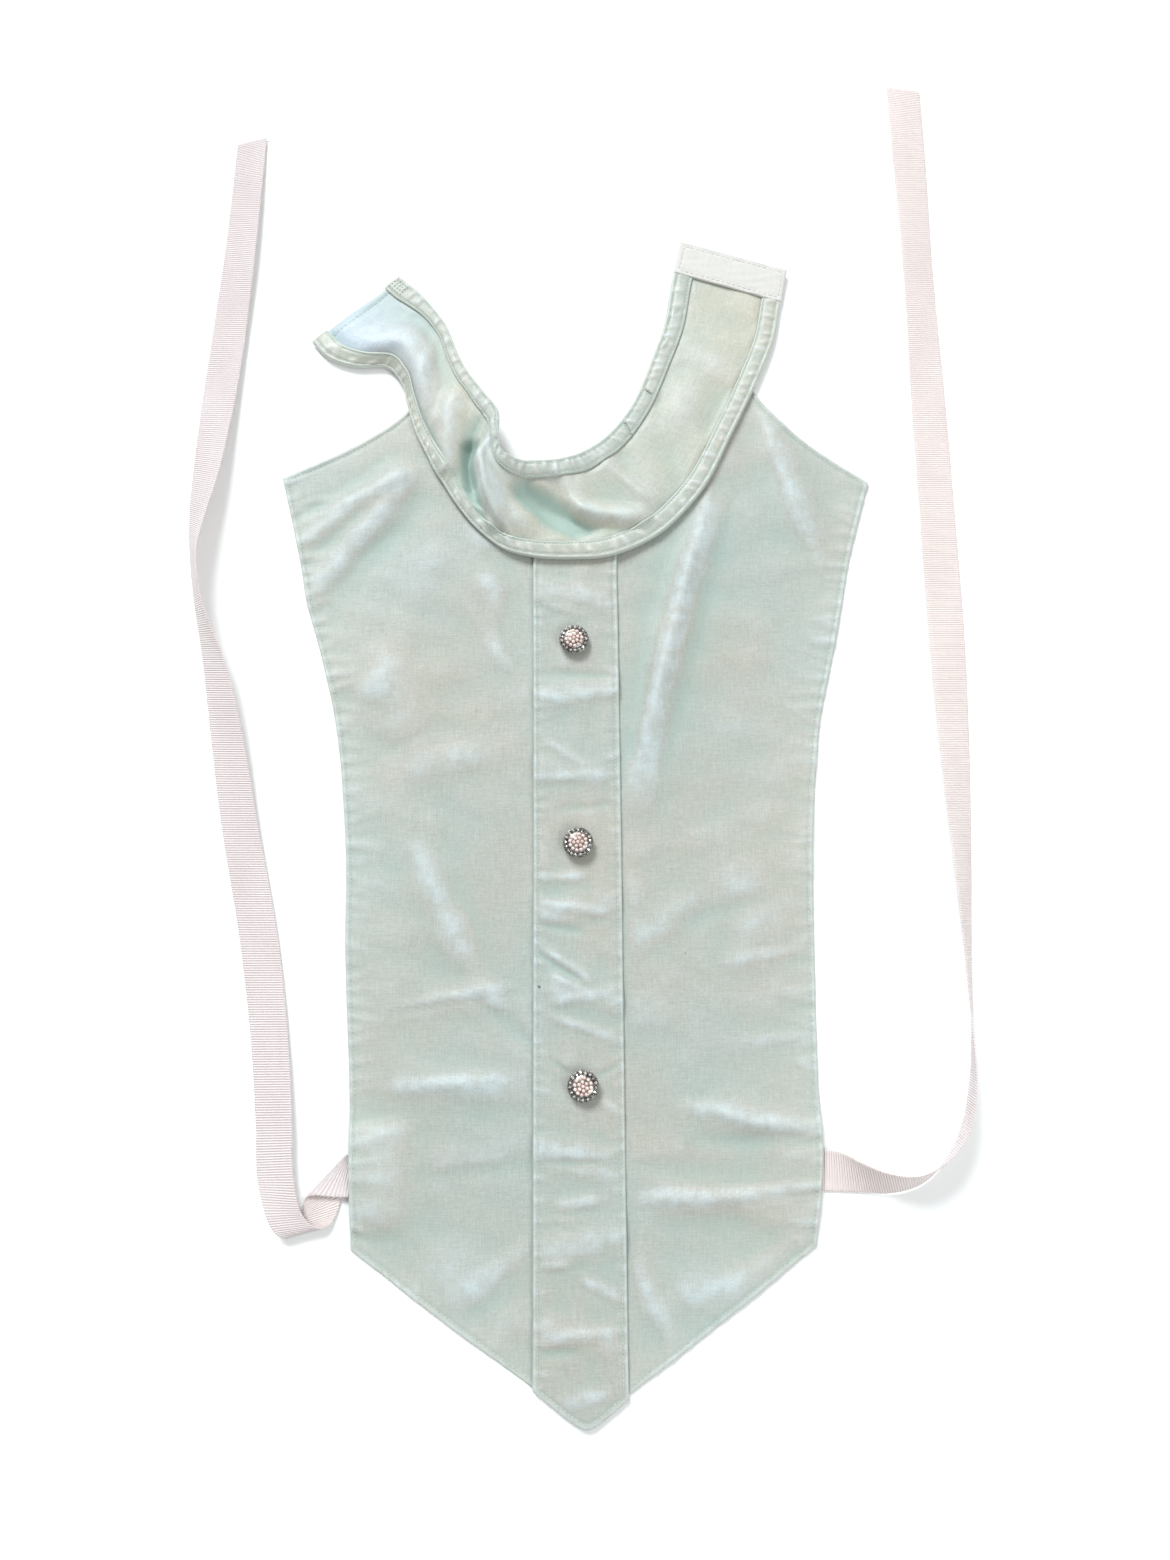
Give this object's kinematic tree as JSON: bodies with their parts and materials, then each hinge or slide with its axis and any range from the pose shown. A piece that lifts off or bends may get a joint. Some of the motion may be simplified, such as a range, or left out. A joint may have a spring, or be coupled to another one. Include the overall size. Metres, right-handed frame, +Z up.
{
  "type": "dickey",
  "caption": "Dickey laid flat: sleeveless shirt-front bib with a buttoned placket, a pointed foot, a curved band collar that fastens behind the neck, and ribbon ties at the sides",
  "frame": {"origin": "On the flat underside of the front panel, on the garment's centre line, 98 mm below the collar's lower edge and 255 mm above the point of the foot.", "axes": "+X to the right of the garment as it is seen from above, +Y from the pointed foot to the neck, +Z up from the surface that it lies on."},
  "size_m": [0.3413, 0.5913, 0.0163],
  "materials": {
    "cloth": "pale mint sateen-backed cotton with a soft sheen",
    "binding": "bias-cut satin side of the same cloth, edge-stitched",
    "tape": "off-white hook-and-loop tape with fine ribs",
    "metal": "antiqued silver-coloured cup with bead settings",
    "ribbon": "pale pink grosgrain with fine cross ribs"
  },
  "bodies": {
    "root": {"front": "cloth", "placket": "cloth", "collar_band": "cloth", "collar_seam_binding": "binding", "collar_neck_binding": "binding", "closure_tape": "tape", "button_top": "metal", "button_middle": "metal", "button_bottom": "metal", "tie_left": "ribbon", "tie_right": "ribbon"}
  },
  "joints": []
}
